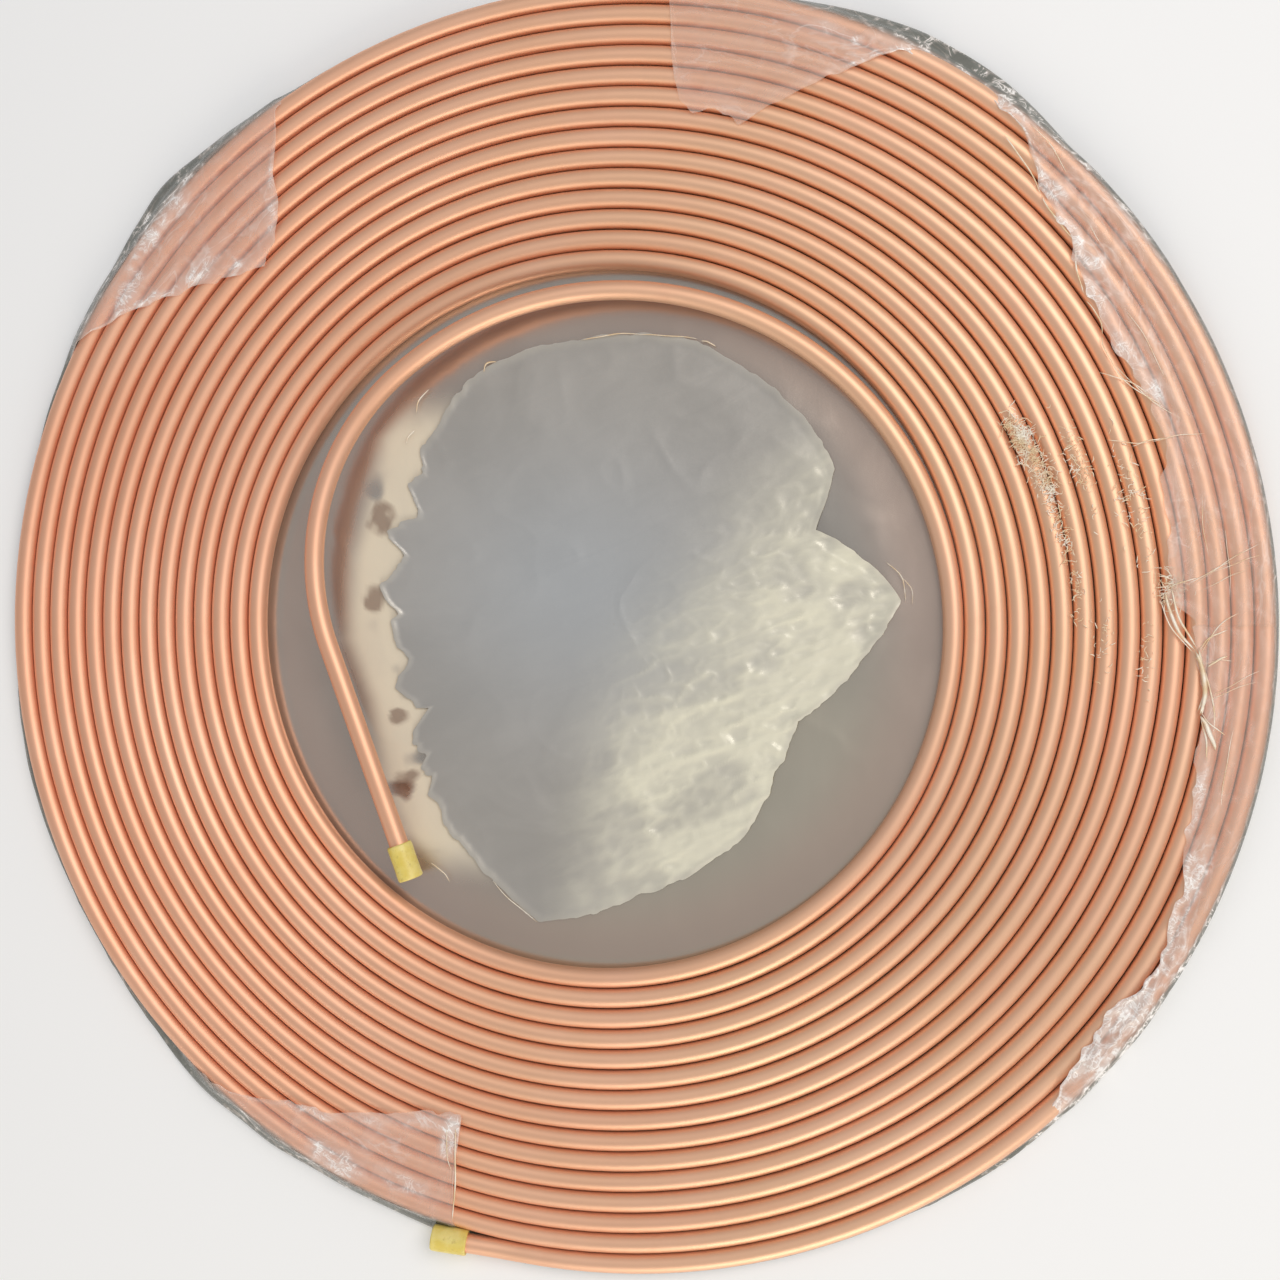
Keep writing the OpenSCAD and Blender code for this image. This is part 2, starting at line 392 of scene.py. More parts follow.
def makeCap(name, node, end, outward, material, s, seed):
    # a profile of (distance from the mouth, radius) turned round the tube's own end
    top, rounding, lip = s["length"], s["rounding"], s["lipRounding"]
    arc = np.linspace(0, math.pi / 2, 7)
    inside = [(s["boreDepth"], 0.0), (s["boreDepth"], s["boreRadius"]),
              (s["boreDepth"] - 2 * mm, s["boreRadius"]), (3 * mm, s["boreRadius"]), (lip, s["boreRadius"])]
    mouth = [(lip - lip * math.sin(a), (s["boreRadius"] + s["outsideRadius"]) / 2
              + (s["outsideRadius"] - s["boreRadius"]) / 2 * math.cos(math.pi - 2 * a)) for a in arc[1:]]
    barrel = [(t * mm, s["outsideRadius"]) for t in (0.6, 1.2, 2.0, 3.2, 4.6, 6.0, 7.4, 8.6, 9.6, 10.4)]
    shoulder = [(top - rounding + rounding * math.sin(a),
                 s["outsideRadius"] - rounding + rounding * math.cos(a)) for a in arc]
    crown = [(top + 0.05 * mm, 2.4 * mm), (top - 0.1 * mm, 1.9 * mm), (top - 0.12 * mm, 1.0 * mm),
             (top + 0.1 * mm, 0.6 * mm), (top + 0.1 * mm, 0.0)]
    profile = np.array(inside + mouth + barrel + shoulder + crown)
    turn = np.linspace(0, 2 * math.pi, s["segments"], endpoint=False)
    z = np.array([0.0, 0.0, 1.0])
    up = z - outward[2] * outward
    up /= np.linalg.norm(up)
    side = np.cross(up, outward)
    mouthPlace = end + outward * (s["seatGap"] - s["boreDepth"])
    distance, radius = profile[:, 0], profile[:, 1]
    # the thin skirt is squeezed a little oval and dented, never inward past its bore
    onSkirt = (radius > s["outsideRadius"] - 0.5 * mm) & (distance > 0.4 * mm)
    squeeze = 0.1 * mm * (1 + np.cos(2 * turn[None, :] + seed)) * onSkirt[:, None]
    dent = 0.12 * mm * latticeNoise(distance[:, None] / mm, turn[None, :] * 3, 1.6, seed) * onSkirt[:, None]
    wide = radius[:, None] + squeeze + dent
    points = (mouthPlace + distance[:, None, None] * outward
              + wide[..., None] * (np.cos(turn)[None, :, None] * side + np.sin(turn)[None, :, None] * up))
    piece = gridPiece(name, points, False, True)
    closeDoubles(piece)
    finishPiece(piece, material, "yellow_plastic", node)
    return piece


def closeDoubles(piece):
    work = bmesh.new()
    work.from_mesh(piece.data)
    bmesh.ops.remove_doubles(work, verts=work.verts, dist=1e-7)
    bmesh.ops.recalc_face_normals(work, faces=work.faces)
    work.to_mesh(piece.data)
    work.free()


yellow = yellowSheet()
makeCap("innerCap", "inner_end_cap", tubePath[-1], tubeAhead[-1], yellow, cap, 2)
makeCap("outerCap", "outer_end_cap", tubePath[0], -tubeAhead[0], yellow, cap, 5)
print("caps seated")


# the flat film under the coil, seen in its eye
eye = {
    "rippleHeight": 0.28 * mm,
    "creaseHeight": 0.14 * mm,
    "wrinkledRadius": 104 * mm,
}

# the film's cut edge is a circle that bulges where loose film stands out past the outermost turn
filmEdge = {
    "radius": 207,      # mm
    # (middle in degrees, half width in degrees, how far out in mm)
    "bulges": ((0, 16, 1), (56, 12, 5.5), (68, 8, 1.5), (112, 18, 1), (136, 9, 5), (154, 9, 2),
               (195, 10, 1.5), (230, 12, 2), (265, 10, 4), (288, 18, 3), (309, 12, 4), (325, 8, 1.5),
               (343, 8, 2.5)),
}


def edgeRadius(degrees, s):
    # how far the cut edge lies from the middle, in mm
    out = s["radius"] + 0 * degrees
    for middle, width, reach in s["bulges"]:
        out = out + reach * np.exp(-(clockwiseGap(degrees, middle) / width) ** 2)
    return out


def eyeHeight(x, y, s):
    # gentle ripples and a few raised creases, fading out before the innermost turn
    inside = 1 - smoothStep(s["wrinkledRadius"] - 12 * mm, s["wrinkledRadius"], np.hypot(x, y))
    ripple = latticeNoise(x, y, 34 * mm, 11) * 0.6 + latticeNoise(x, y, 15 * mm, 12) * 0.4
    fold = creases(x + y * 0.4, y - x * 0.3, 26 * mm, 14, 9.0)
    return inside * (s["rippleHeight"] * ripple + s["creaseHeight"] * fold)


def filmSheetPaint():
    m = Sheet("greyStretchFilm")
    place = m.place()
    cream, darkSpot, paintedLampReflection, near = m.painted("cream"), m.painted("darkSpot"), m.painted("paintedLampReflection"), m.painted("near")
    cloud = m.noise(place, 22.0, 4.0, 0.55, 0.6)
    smear = m.noise(m.stretched(place, (60.0, 25.0, 1.0)), 1.0, 4.0, 0.6, 0.8)
    fine = m.noise(place, 240.0, 4.0, 0.6)
    body = m.mix(cloud.between(0.3, 0.7), (0.44, 0.40, 0.355), (0.52, 0.475, 0.42))
    # painted reflection: a warm pale patch towards the lower right stands for the lamps reflected in the film
    lampReflected = m.mix(paintedLampReflection, body, (0.60, 0.54, 0.42))
    # painted reflection: a rosy ring just inside the innermost turn stands for the copper reflected in the
    # film
    copperReflected = m.mix(near * 0.6, lampReflected, (0.60, 0.44, 0.36))
    creamed = m.mix(cream * (0.7 + 0.5 * smear).limited(), copperReflected, (0.76, 0.67, 0.52))
    # darker brown spots beside the torn edge
    spotted = m.mix(darkSpot, creamed, (0.25, 0.165, 0.12))
    m.set(Base_Color=spotted, Metallic=0.8 - 0.7 * cream, Roughness=0.17 + smear * 0.14 + 0.3 * cream,
          Coat_Weight=0.3, Coat_Roughness=0.08,
          Normal=m.bump(smear * 0.7 + fine * 0.15, 0.2, 0.0004))
    return m.material


def makeFilmSheet(s):
    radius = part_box("film_sheet")[1].x
    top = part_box("film_sheet")[1].z
    angle = np.radians(np.linspace(0, 360, 480, endpoint=False))
    across = np.concatenate([np.linspace(0.002, 0.55, 100), np.linspace(0.56, 1.0, 34)]) * radius
    ring = angle[None, :]
    r = across[:, None] * np.ones_like(ring)
    # the cut edge wanders in and out a little
    wander = (latticeNoise(np.degrees(ring), ring * 0, 2.1, 21) - 0.5) * 0.8 * mm
    edge = edgeRadius(np.degrees(ring), filmEdge) * mm + wander
    steady = 0.9 * radius       # inside this the rings stay round
    r = np.where(r > steady, steady + (r - steady) / (radius - steady) * (edge - steady), r)
    x, y = r * np.cos(ring), r * np.sin(ring)
    z = top * 0.85 + eyeHeight(x, y, s)
    piece = gridPiece("filmSheet", np.stack([x, y, z], -1), False, True, capFirst=True, flip=True)
    closeUp(piece)
    xm, ym = x / mm, y / mm
    leftEdge = np.interp(ym, scrapLeft[:, 1], scrapLeft[:, 0])
    beside = smoothStep(-21, -11, xm - leftEdge) * (1 - smoothStep(4, 10, xm - leftEdge))
    inBand = smoothStep(-88, -70, ym) * (1 - smoothStep(62, 80, ym))
    torn = smoothStep(0.08, 0.26, latticeNoise(xm, ym, 11, 31) * 0.7 + latticeNoise(xm, ym, 5, 32) * 0.3)
    paint(piece, "cream", beside * inBand * torn)
    # a few darker brown spots beside the torn edge
    darkSpots = np.zeros_like(xm)
    for bx, by, bw, bh in ((-74, 34.5, 4.5, 5), (-76.5, 8.5, 4, 4.5), (-68, -30, 4, 3), (-64.5, -53, 4, 4.5)):
        d = np.hypot((xm - bx) / bw, (ym - by) / bh) + (latticeNoise(xm, ym, 3.3, 33) - 0.5) * 0.9
        darkSpots = np.maximum(darkSpots, 1 - smoothStep(0.6, 1.15, d))
    paint(piece, "darkSpot", darkSpots * 0.8)
    # painted reflection of the copper, in a ring just inside the eye's edge
    paint(piece, "near", smoothStep(82, 104, np.hypot(xm, ym)) * (1 - smoothStep(108, 112, np.hypot(xm, ym))))
    # painted reflection of the lamps, strongest towards the lower right
    nearLight = 1 - smoothStep(60, 120, np.hypot(xm - 20, ym + 70))
    paint(piece, "paintedLampReflection", 0.7 * smoothStep(0, 95, xm - ym * 0.9) * nearLight)
    finishPiece(piece, filmSheetPaint(), "film", "film_sheet")


def closeUp(piece):
    # normals up for a single layer of film
    if piece.data.polygons[len(piece.data.polygons) // 2].normal.z < 0:
        piece.data.flip_normals()


# the torn piece of film that lies in the eye

def scrapOutline():
    # the CAD node's own corners, as (degrees round its middle, distance from it)
    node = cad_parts["film_scrap"]
    co = np.array([v.co for v in node.data.vertices])[:, :2]
    co = np.unique(np.round(co / mm, 3), axis=0)
    middle = np.array([5.0, 0.0])
    d = co - middle
    angle = np.degrees(np.arctan2(d[:, 1], d[:, 0])) % 360
    order = np.argsort(angle)
    return middle, angle[order], np.hypot(d[:, 0], d[:, 1])[order], co[order]


scrapMiddle, scrapAngle, scrapReach, scrapCorners = scrapOutline()
scrapLeft = scrapCorners[(scrapCorners[:, 0] < -20)]
scrapLeft = scrapLeft[np.argsort(scrapLeft[:, 1])]

scrap = {
    "toothDepth": 8.5,      # mm, the torn left edge
    "edgeRough": 1.6,       # mm, elsewhere
    "rise": 0.45 * mm,      # above the sheet
    "curl": 0.5 * mm,       # at its edge
}


def scrapPaint():
    m = Sheet("tornFilm")
    place = m.place()
    wrinklesAndSheen, paintedCoolReflection, rim = m.painted("wrinklesAndSheen"), m.painted("paintedCoolReflection"), m.painted("rim")
    cloud = m.noise(place, 26.0, 4.0, 0.55, 0.7)
    smear = m.noise(m.stretched(m.turned(place, 0.38), (26.0, 110.0, 1.0)), 1.0, 5.0, 0.62, 1.0)
    fine = m.noise(place, 300.0, 4.0, 0.6)
    body = m.mix(cloud.between(0.3, 0.7), (0.45, 0.42, 0.38), (0.53, 0.495, 0.45))
    # painted reflection: a cool grey-blue patch in the scrap's middle stands for the overhead light reflected
    # in the film
    coolReflected = m.mix(paintedCoolReflection, body, (0.53, 0.545, 0.555))
    # the wrinkled patches are painted pale cream: partly the whiter crumpled film, partly a painted
    # reflection of the lamps
    lit = m.mix((wrinklesAndSheen * (0.55 + 0.7 * smear)).limited(), coolReflected, (0.80, 0.76, 0.60))
    # painted highlight: the curled edge is painted paler where it catches the light
    edged = m.mix(rim * 0.5, lit, (0.72, 0.66, 0.55))
    m.set(Base_Color=edged, Metallic=0.6 - 0.5 * wrinklesAndSheen, Roughness=0.24 + smear * 0.16,
          Coat_Weight=0.4, Coat_Roughness=0.12,
          Normal=m.bump(smear * 0.8 + fine * 0.2, 0.3, 0.0007))
    return m.material


def makeScrap(s):
    degrees = np.linspace(0, 360, 540, endpoint=False)
    share = np.concatenate([np.linspace(0.004, 0.9, 90), np.linspace(0.91, 1.0, 14)])
    reach = np.interp(degrees, scrapAngle, scrapReach, period=360)
    left = np.exp(-(clockwiseGap(degrees, 178) / 52.0) ** 4)
    saw = np.abs(((degrees / 14.6 + 2.3 * latticeNoise(degrees, degrees * 0, 19, 41)) % 1) * 2 - 1)
    ragged = (latticeNoise(degrees, degrees * 0, 3.1, 42) * 0.6
              + latticeNoise(degrees, degrees * 0, 1.2, 43) * 0.4)
    toothSize = 0.35 + 0.8 * latticeNoise(degrees, degrees * 0, 17, 50)
    teeth = left * s["toothDepth"] * (saw * toothSize + ragged * 0.7 - 0.75)
    reach = reach + teeth + (1 - left) * s["edgeRough"] * (ragged - 0.5)
    ring = np.radians(degrees)[None, :]
    r = share[:, None] * reach[None, :]
    xm, ym = scrapMiddle[0] + r * np.cos(ring), scrapMiddle[1] + r * np.sin(ring)
    x, y = xm * mm, ym * mm
    # wrinkles gather at the right and lower part, slanting up to the right
    gather = smoothStep(0.12, 0.75, (xm * 0.9 - ym * 0.75 + 10) / 110 + 0.1) * smoothStep(-5, 40, xm + 20)
    along, over = x * 0.93 + y * 0.37, y * 0.93 - x * 0.37
    bend = 5 * mm * latticeNoise(x, y, 30 * mm, 48)
    slant = creases(along * 0.42, over + bend, 6.5 * mm, 44, 4.5)
    knots = creases(along * 0.6, over - bend, 3.6 * mm, 47, 3.6)
    uneven = 0.4 + 0.6 * latticeNoise(degrees, degrees * 0, 9, 45)
    rim = smoothStep(0.965, 1.0, share)[:, None] * uneven[None, :]
    z = (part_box("film_sheet")[1].z + eyeHeight(x, y, eye) + s["rise"]
         + gather * (0.5 * slant + 0.3 * knots) * mm + rim * s["curl"]
         + 0.2 * mm * latticeNoise(x, y, 22 * mm, 46))
    piece = gridPiece("filmScrap", np.stack([x, y, z], -1), False, True, capFirst=True, flip=True)
    closeUp(piece)
    patches = smoothStep(0.4, 0.62, latticeNoise(along, over * 1.6, 21 * mm, 49))
    # pale cream over the wrinkled patches: whiter crumpled film and a painted reflection of the lamps
    paint(piece, "wrinklesAndSheen", np.clip(gather * (0.5 + 0.3 * patches + 0.3 * slant + 0.2 * knots), 0, 1))
    # painted reflection of the overhead light, cool grey-blue in the middle
    paint(piece, "paintedCoolReflection", 0.9 * np.exp(-(((xm + 8) / 52) ** 2 + ((ym - 12) / 44) ** 2)))
    # the curled edge, painted paler as a painted highlight
    paint(piece, "rim", rim)
    finishPiece(piece, scrapPaint(), "film", "film_scrap")
    flatArea = 0.5 * float(np.sum(reach ** 2)) * math.radians(360 / len(degrees)) * mm * mm


makeFilmSheet(eye)
makeScrap(scrap)
print("film laid")


# the film that stands round the coil and folds over its outer turns
rim = {
    "wallTop": 7.3 * mm,
    "bareTop": 3.2 * mm,
    "foldRadius": 0.208,            # metres, where the flaps fold in from the wall
    "flatWidth": 0.048,             # metres, the wall and the longest flap laid flat
    "columns": 1500,
    "wallRows": 12,
    "topRows": 40,
    # inner edge of the film over the coil: (degrees, mm from the middle)
    "innerEdge": ((-52, 209.5), (-49.7, 209.5), (-47, 206), (-42.8, 201), (-39.5, 200.5), (-36.5, 198.5),
                  (-33, 202), (-30.4, 202), (-26, 198.5), (-22.5, 195.6), (-16.2, 191.0), (-8.9, 188.6),
                  (-4, 186.5), (0.4, 184.5), (2.4, 177.0), (7, 178.5), (12.1, 180.0), (17, 183.5),
                  (21.7, 184.6), (25, 183), (27.7, 181.0), (33.1, 183.0), (38.6, 189.2), (43.9, 193.4),
                  (47, 199), (50.2, 203.0), (54, 206.0), (58, 206.0), (61.7, 203.5), (65.1, 192.6),
                  (69.4, 177.7), (71.5, 172), (73.7, 166.2), (75, 167.5), (76.8, 168.4), (79, 166.8),
                  (80.7, 169.0), (81.6, 176), (82.3, 184.0), (82.7, 192.8), (83.2, 202.2), (83.6, 209.5),
                  (104, 209.8), (119, 209.5), (122.3, 203), (123.4, 196.4), (126.0, 185.8),
                  (127.3, 177.0), (130.3, 168.5), (133.2, 164.2), (136.6, 171), (140.4, 178.1),
                  (144.5, 188), (148.4, 195.5), (152.5, 204.4), (156, 209.0), (190, 209.8), (222, 209.5),
                  (226, 206.5), (230.6, 201.5), (236, 192), (241.6, 183.9), (247.5, 175), (253.2, 167.3),
                  (254.6, 167.5), (255.0, 178.0), (255.6, 190), (256.3, 201.5), (257.0, 209.8)),
    # how crumpled and milky the film is: (degrees, 0 to 1)
    "crumpled": ((-56, 0.25), (-50, 0.9), (-38, 1.0), (-30, 0.9), (-22, 0.45), (-12, 0.35), (0, 0.35),
                 (12, 0.3), (24, 0.35), (34, 0.45), (42, 0.6), (50, 0.85), (60, 0.7), (68, 0.35),
                 (82, 0.25), (90, 0.2), (118, 0.35), (128, 0.5), (142, 0.6), (152, 0.55), (160, 0.35),
                 (200, 0.2), (222, 0.35), (236, 0.5), (248, 0.45), (256, 0.45), (262, 0.2), (290, 0.15)),
    # places where it is bunched up white: (degrees, mm from the middle, degrees wide, mm deep, 0 to 1)
    "bunched": ((243.8, 198.2, 4, 6, 0.9), (253.9, 175, 1.3, 10, 0.7), (250.3, 195, 4, 5, 0.4),
                (136.6, 202, 4, 4, 0.7), (139.7, 202, 3, 4, 0.8), (145, 198, 4, 5, 0.5),
                (138, 180, 3, 5, 0.35), (68, 201, 5, 3, 0.5), (61.6, 204, 4, 3, 0.7),
                (55.4, 205, 4, 4, 0.6), (50.7, 204, 4, 4, 0.6), (43.8, 195, 4, 4, 0.6),
                (37.4, 190.5, 4, 3.5, 0.6), (33, 184, 3, 4, 0.75), (26.5, 184, 3, 4, 0.6),
                (22.9, 186.6, 3, 4, 0.5), (343.8, 192, 5, 4, 0.5), (338, 199, 4, 6, 0.6),
                (330, 199, 4, 6, 0.9), (324, 202, 4, 6, 1.0), (318.6, 201, 4, 6, 1.0),
                (313, 205, 3, 5, 0.8)),
    # how far the loose film bellies out past the coil: (degrees, mm)
    "belly": ((-56, 0.6), (-44, 1.0), (-30, 0.8), (-10, 0.0), (20, 0.0), (40, 0.8), (50, 2.4), (60, 2.2),
              (70, 0.5), (100, 0.2), (118, 0.8), (133, 2.6), (142, 2.4), (152, 1.0), (180, 0.0),
              (215, 0.3), (228, 1.6), (236, 1.4), (250, 0.4), (262, 0.0)),
}


def rimPaint():
    m = Sheet("clearStretchFilm")
    place, uv = m.place(), m.along()
    haze, wall = m.painted("haze"), m.painted("wall")
    veil = m.noise(m.stretched(uv, (20.0, 75.0, 1.0)), 1.0, 4.0, 0.55, 0.8)
    fine = m.noise(m.stretched(uv, (38.0, 120.0, 1.0)), 1.0, 4.0, 0.5, 1.6)
    sparkle = m.noise(place, 210.0, 3.0, 0.5, 2.2)
    # thin lines where each noise crosses its middle; the near-white fold lines and glints are painted
    # highlights, the fold lines partly also the whitened creases
    fold = (1 - ((fine - 0.5) * (fine - 0.5)) ** 0.5 * 24).limited() * veil.between(0.4, 0.62)
    glint = (1 - ((sparkle - 0.5) * (sparkle - 0.5)) ** 0.5 * 15).limited() * haze.between(0.35, 0.8)
    lines = (fold * (0.2 + 0.7 * haze) + glint * 0.8).limited()
    tint = m.mix(haze, (0.86, 0.61, 0.495), (0.88, 0.79, 0.73))
    lit = m.mix(lines, tint, (0.98, 0.95, 0.92))
    # painted shade: the lower part of the film wall round the coil is painted dark grey-green for the shade
    # at the coil's foot
    wallShaded = m.mix((wall - lines * 1.2).limited(), lit, (0.19, 0.195, 0.17))
    m.set(Base_Color=wallShaded, Metallic=0.0, Roughness=0.2 + 0.2 * haze, Coat_Weight=0.4, Coat_Roughness=0.1,
          Alpha=(0.13 + 0.28 * veil + 0.42 * haze + 0.34 * lines + 0.4 * wall).limited(),
          Normal=m.bump(fine * 0.7 + sparkle * 0.3, 0.4, 0.0009))
    return m.material


def makeRim(s):
    degrees = np.linspace(0, 360, s["columns"], endpoint=False)
    a = degrees[None, :]
    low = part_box("film_rim")[0].z
    coarse = (latticeNoise(degrees, degrees * 0, 2.3, 51) - 0.5) * 2.4
    ragged = coarse + (latticeNoise(degrees, degrees * 0, 0.9, 52) - 0.5) * 1.6
    inner = (overCircle(s["innerEdge"], degrees) + ragged) * mm
    crumpled = overCircle(s["crumpled"], a)
    belly = overCircle(s["belly"], a) * mm
    wave = latticeNoise(a, a * 0, 4.1, 53)
    wallShare = np.linspace(0, 1, s["wallRows"])[:, None]
    ballooned = np.sin(math.pi * wallShare ** 0.8)
    turned = (a - coil["outerEndDirection"]) % 360
    # the outermost turn's outer side, which the film hugs wherever it isn't bellied out
    tubeSide = coil["outerAxisRadius"] - coil["turnPitch"] * turned / 360 + coil["tubeRadius"]
    foot = edgeRadius(a, filmEdge) * mm - 0.3 * mm
    # 0 where the film is torn off low, 1 where it folds in over the turns
    inward = np.clip((207.5 - overCircle(s["innerEdge"], a)) / 4, 0, 1)
    wallRadius = (foot + (tubeSide + 0.45 * mm - foot) * smoothStep(0.1, 0.6, wallShare)
                  + belly * ballooned * (0.3 + 0.7 * wave)
                  - 1.6 * mm * inward * smoothStep(0.6, 1, wallShare))
    wallEnd = (s["wallTop"] + 0.6 * mm * wave) * inward + s["bareTop"] * (1 - inward)
    wallHeight = low + (wallEnd - low) * wallShare
    topShare = np.linspace(0, 1, s["topRows"] + 1)[1:, None]
    start = wallRadius[-1][None, :]
    topRadius = start + (np.minimum(inner[None, :], start - 0.25 * mm) - start) * topShare
    along = a / 360 * 2 * math.pi * 200 * mm
    depth = start - topRadius
    hug = smoothStep(0, 3 * mm, depth)
    # creases run both ways, and a rope-like gathered hem follows the crumpled stretches
    cross = creases(along, topRadius * 1.5, 12 * mm, 54, 6.0)
    lengthwise = creases(along * 0.35, topRadius * 1.6, 8 * mm, 55, 5.0)
    tangle = creases(along * 1.3, topRadius * 1.3, 5.5 * mm, 56, 4.5)
    hem = np.exp(-((topShare - 0.9) / 0.1) ** 2) * (0.35 + 0.65 * latticeNoise(a, a * 0, 3.3, 57))
    lift = (0.25 * latticeNoise(along, topRadius, 18 * mm, 58)
            + crumpled * (0.9 * cross + 0.7 * lengthwise + 0.8 * tangle * crumpled)
            + 0.5 * hem * (0.3 + crumpled)) * mm
    topHeight = wallHeight[-1][None, :] + lift * (0.15 + 0.85 * hug)
    radius = np.vstack([wallRadius + 0 * a, topRadius])
    height = np.vstack([wallHeight + 0 * a, topHeight])
    points = np.stack([radius * np.cos(np.radians(a)), radius * np.sin(np.radians(a)), height], -1)
    uv = np.stack(np.broadcast_arrays(along, radius), -1)
    piece = gridPiece("filmRim", points, False, True, uv)
    spots = np.zeros_like(topRadius)
    for where, out, wide, deep, strength in s["bunched"]:
        d = np.hypot(clockwiseGap(a, where) / wide, (topRadius / mm - out) / deep)
        rough = 0.55 + 0.9 * (latticeNoise(along, topRadius, 3.4 * mm, 60) - 0.3)
        spots = np.maximum(spots, strength * rough * (1 - smoothStep(0.35, 1.1, d)))
    hazeTop = np.clip(spots + crumpled * (0.08 + 0.35 * cross + 0.35 * lengthwise + 0.5 * tangle * crumpled)
                      + 0.5 * hem * (0.2 + crumpled), 0, 1)
    curls = creases(along + 0 * wallShare, wallHeight * 2, 5 * mm, 59, 4.5)
    hazeWall = np.clip(crumpled * (0.25 + 1.1 * curls), 0, 1)
    paint(piece, "haze", np.vstack([hazeWall, hazeTop]))
    # painted shade over the lower part of the film wall
    wallShadeBand = np.vstack([1 - smoothStep(0.75, 1.0, wallShare) + 0 * a, 0 * topRadius])
    paint(piece, "wall", wallShadeBand)
    finishPiece(piece, rimPaint(), "film", "film_rim")
    return piece


strand = {
    "steps": 12,
    "sides": 4,
    "above": 7.35 * mm,
    # single drawn-out threads: (x, y) to (x, y) in mm, sideways bow in mm, half thickness in mm
    "threads": ((175.8, 10.4, 184.5, -7.8, -2.0, 0.5), (177.5, 11.5, 184.9, -7.0, -1.2, 0.36),
                (174.0, 8.6, 184.2, -8.8, -1.5, 0.2), (184.5, -7.8, 185.8, -27.4, 2.2, 0.8),
                (185.4, -6.8, 186.4, -28.0, 1.2, 0.55), (184.2, -8.8, 185.2, -26.4, 2.9, 0.4),
                (185.2, -9.0, 189.8, -33.6, 1.8, 0.24), (185.8, -27.4, 190.4, -38.0, 0.6, 0.7),
                (186.2, -28.0, 188.0, -42.0, 0.4, 0.3), (186.0, -26.0, 193.5, -33.5, -0.8, 0.2),
                (185.6, -8.0, 194.0, -1.6, 1.2, 0.22), (186.0, -9.5, 198.0, 4.0, 2.0, 0.16),
                (188.0, -13.0, 194.0, -9.5, 0.5, 0.34), (186.8, -12.0, 195.5, -11.0, 0.6, 0.14),
                (176.0, 10.4, 186.0, 14.0, 0.8, 0.16), (181.0, 11.0, 196.0, 19.3, 0.6, 0.12),
                (184.0, 12.0, 203.7, 24.7, 0.5, 0.12), (186.0, 10.0, 200.0, 16.5, 0.5, 0.1),
                (188.0, 15.0, 204.0, 21.0, 0.4, 0.1), (158.4, 56.4, 171.5, 55.3, -0.6, 0.14),
                (171.5, 55.3, 187.4, 57.6, 0.5, 0.13), (166.0, 54.0, 176.0, 56.6, 0.3, 0.16),
                (186.0, -24.0, 203.0, -17.0, 0.5, 0.1), (188.0, -22.5, 204.0, -13.5, 0.4, 0.1),
                (152.4, 99.0, 157.5, 88.0, 1.4, 0.22), (157.5, 88.0, 160.5, 80.0, -1.0, 0.2),
                (149.5, 117.5, 152.0, 101.0, -0.8, 0.26), (139.4, 131.7, 149.5, 117.5, -0.9, 0.3),
                (128.0, 151.0, 139.4, 131.7, 0.9, 0.24), (158.0, 84.0, 176.0, 66.0, -2.6, 0.16),
                (160.5, 80.0, 181.0, 62.0, -1.6, 0.14), (156.0, 77.0, 172.0, 69.0, 1.2, 0.16),
                (-46.4, -164.0, -47.6, -196.0, 0.5, 0.3), (-49.0, -163.6, -47.4, -180.0, -1.3, 0.18),
                (136.0, 154.0, 148.0, 136.0, 1.0, 0.14), (150.0, 130.0, 160.0, 112.0, -0.8, 0.12),
                (164.0, 96.0, 176.0, 74.0, 0.9, 0.12), (186.5, 40.0, 188.5, 20.0, -0.6, 0.12),
                (193.0, 30.0, 194.5, 8.0, 0.4, 0.1), (196.0, -30.0, 192.0, -56.0, -0.8, 0.13)),
    # threads and folded edges that lie in the eye
    "eyeThreads": ((-61.5, 70.0, -57.0, 78.0, 1.2, 0.25), (-38.5, 83.0, -34.0, 86.4, 1.6, 0.3),
                   (-6.0, 92.6, 14.0, 94.0, 0.8, 0.2), (12.0, 93.8, 33.0, 91.8, 0.6, 0.16),
                   (33.5, 91.2, 38.5, 89.2, 0.5, 0.22), (-65.0, 60.0, -62.0, 64.5, 0.6, 0.22),
                   (-57.0, -79.0, -50.0, -85.5, 1.0, 0.2), (-36.0, -84.0, -20.0, -98.0, -0.6, 0.14),
                   (92.0, 20.0, 98.5, 7.0, 2.2, 0.16), (96.0, 16.0, 100.5, 6.0, 1.8, 0.12)),
    "eyeAbove": 1.5 * mm,
    # fields of short shreds: (degrees, mm from the middle), mm along the turns, mm across, how many, mm long
    "fields": ((23.5, 145.5, 9, 3.6, 300, 2.8), (18.0, 147.5, 11, 3.4, 250, 2.4),
               (11.0, 148.5, 11, 2.6, 100, 2.0), (4.5, 150.5, 9, 1.8, 50, 1.8),
               (18.0, 158.0, 14, 4.0, 110, 2.0), (13.0, 170.0, 20, 4.5, 90, 2.4),
               (3.6, 178.0, 5.5, 4.5, 110, 3.4), (356.5, 171.0, 10, 3.0, 30, 2.2),
               (-0.5, 158.0, 12, 4.0, 34, 1.8)),
}


def strandPaint():
    m = Sheet("filmShreds")
    place = m.place()
    tone = m.noise(place, 210.0, 3.0, 0.5)
    colour = m.mix(tone.between(0.35, 0.65), (0.93, 0.71, 0.44), (1.0, 0.93, 0.80))
    m.set(Base_Color=colour, Metallic=0.0, Roughness=0.22 + 0.2 * tone, Alpha=(0.7 + 0.5 * tone).limited(),
          Coat_Weight=0.6, Coat_Roughness=0.08)
    return m.material


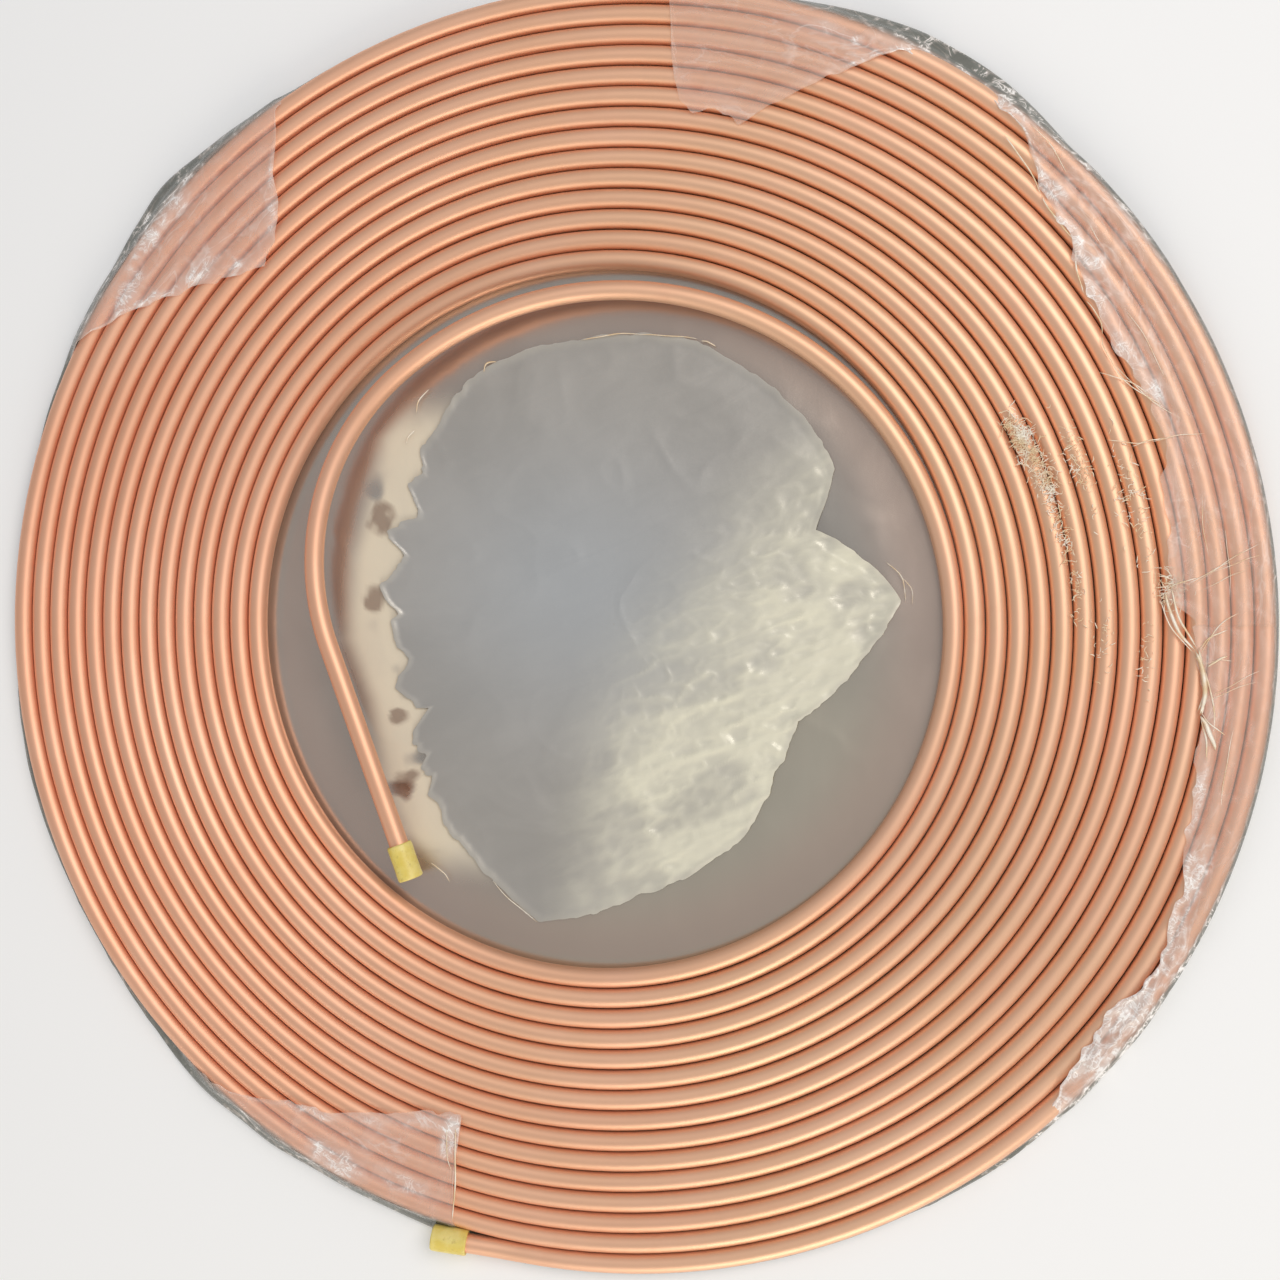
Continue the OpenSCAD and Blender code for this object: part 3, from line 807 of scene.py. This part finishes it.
def makeStrands(s):
    # each thread is a straight run bowed by a sine, with a round section that tapers to its ends
    random = np.random.default_rng(7)
    rows = [np.array(s["eyeThreads"]), np.array(s["threads"])]
    for where, out, lengthways, across, count, size in s["fields"]:
        turn = np.radians(where) + random.normal(0, lengthways / 2, count) / out
        r = out + random.normal(0, across / 2, count)
        # shreds lie across or along the turns, more often across
        lean = turn + random.normal(0, 0.8, count) + (random.random(count) < 0.35) * math.pi / 2
        half = size * (0.3 + random.random(count)) / 2
        x, y = r * np.cos(turn), r * np.sin(turn)
        dx, dy = half * np.cos(lean), half * np.sin(lean)
        rows.append(np.stack([x - dx, y - dy, x + dx, y + dy, random.normal(0, 0.35, count),
                              0.07 + 0.09 * random.random(count)], -1))
    rows = np.vstack(rows)
    t = np.linspace(0, 1, s["steps"])[None, :]
    x0, y0, x1, y1, bow, thick = (rows[:, i, None] for i in range(6))
    span = np.hypot(x1 - x0, y1 - y0)
    nx, ny = -(y1 - y0) / span, (x1 - x0) / span
    arch = np.sin(math.pi * t)
    weave = bow * arch + 0.25 * np.sin(7 * t + 9 * x0) * np.minimum(span / 12, 1) * arch
    x, y = x0 + (x1 - x0) * t + nx * weave, y0 + (y1 - y0) * t + ny * weave
    base = np.full((len(rows), 1), s["above"] / mm)
    base[:len(s["eyeThreads"])] = s["eyeAbove"] / mm
    z = base + thick + 0.05 + 0.5 * np.minimum(span / 10, 1) * arch + 0.3 * np.abs(np.sin(11 * x0))
    taper = np.maximum(arch, 0) ** 0.4 * thick
    taper[:, 0] = taper[:, -1] = 0
    turn = np.linspace(0, 2 * math.pi, s["sides"], endpoint=False)[None, None, :]
    wide, tall = taper[..., None] * np.cos(turn), taper[..., None] * np.sin(turn) * 0.7
    points = np.stack([x[..., None] + nx[..., None] * wide, y[..., None] + ny[..., None] * wide,
                       z[..., None] + tall], -1)
    piece = gridPiece("filmStrands", points * mm, False, True)
    closeDoubles(piece)
    finishPiece(piece, strandPaint(), "film", "film_rim")
    return piece


filmRim = makeRim(rim)
makeStrands(strand)
print("rim folded over")


# floor, light and camera
floorReach, floorHeight = 4, -0.0002      # metres, just under the film
floorMesh = bpy.data.meshes.new("floor")
corners = [(x * floorReach, y * floorReach, floorHeight) for x, y in ((-1, -1), (1, -1), (1, 1), (-1, 1))]
floorMesh.from_pydata(corners, [], [(0, 1, 2, 3)])
floor = bpy.data.objects.new("floor", floorMesh)
bpy.context.scene.collection.objects.link(floor)
floorSheet = Sheet("paleFloor")
floorSheet.set(Base_Color=(0.93, 0.93, 0.93), Roughness=0.9)
floor.data.materials.append(floorSheet.material)

studio = {
    "worldStrength": 0.47,
    "lights": (
        # name, place, aimed at, size, power in watts, colour
        ("softTop", (0.85, 0.6, 1.45), (0.12, 0.1, 0), 1.3, 15, (1.0, 0.96, 0.92)),
        ("warmNear", (0.30, -1.5, 0.65), (0, 0, 0), 0.8, 9, (1.0, 0.93, 0.80)),
        ("lowLeft", (-0.9, -0.9, 0.5), (0, 0, 0), 0.4, 1, (1.0, 0.92, 0.84)),
    ),
}

world = bpy.data.worlds.new("studio")
world.use_nodes = True
world.node_tree.nodes["Background"].inputs["Color"].default_value = (0.95, 0.97, 1.0, 1)
world.node_tree.nodes["Background"].inputs["Strength"].default_value = studio["worldStrength"]
bpy.context.scene.world = world
for name, place, aim, size, power, colour in studio["lights"]:
    lamp = bpy.data.lights.new(name, "AREA")
    lamp.shape, lamp.size, lamp.energy, lamp.color = "DISK", size, power, colour
    holder = bpy.data.objects.new(name, lamp)
    holder.location = place
    holder.rotation_euler = (Vector(aim) - Vector(place)).to_track_quat("-Z", "Y").to_euler()
    bpy.context.scene.collection.objects.link(holder)

camera = bpy.data.cameras.new("view")
camera.sensor_width, camera.lens = 36, 47.8
camera.shift_x, camera.shift_y = 0.0317, -0.0123
holder = bpy.data.objects.new("view", camera)
holder.location = (0.1041, 0.0009, 0.5454)
# looking down at the coil's middle, with +Y up the picture
lookBack = holder.location.normalized()
right = Vector((0, 1, 0)).cross(lookBack).normalized()
holder.rotation_euler = Matrix((right, lookBack.cross(right), lookBack)).transposed().to_euler()
bpy.context.scene.collection.objects.link(holder)
bpy.context.scene.camera = holder
bpy.context.scene.view_settings.view_transform = "Standard"
print("studio set")
